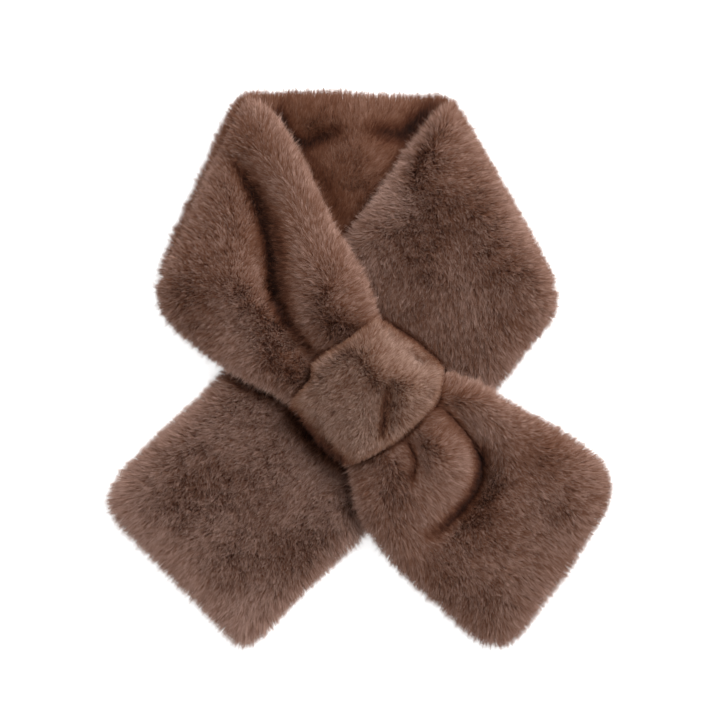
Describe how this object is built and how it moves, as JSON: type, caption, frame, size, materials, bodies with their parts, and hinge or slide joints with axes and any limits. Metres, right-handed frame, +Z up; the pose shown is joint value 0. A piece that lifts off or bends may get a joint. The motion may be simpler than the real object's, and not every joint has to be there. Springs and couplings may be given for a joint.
{
  "type": "fur collar wrap",
  "caption": "Faux-fur neck scarf laid flat: one long furry strip, folded at both shoulders, crossed at the front and pulled through its own sewn loop.",
  "frame": {"origin": "middle of the part's bounding box, on the table that it lies on", "axes": "+Z up from the table, +Y towards the back of the neck, +X to the right as seen from above with the neck at the top"},
  "size_m": [0.3796, 0.4214, 0.0698],
  "materials": {
    "fur": "dense short faux fur in taupe brown, lighter at the tips and near black in the creases",
    "loop_fur": "the same faux fur, on the sewn loop"
  },
  "bodies": {
    "root": {"back_neck": "fur", "right_front": "fur", "left_tail": "fur", "left_front": "fur", "right_tail": "fur", "loop_strap": "loop_fur"}
  },
  "joints": []
}
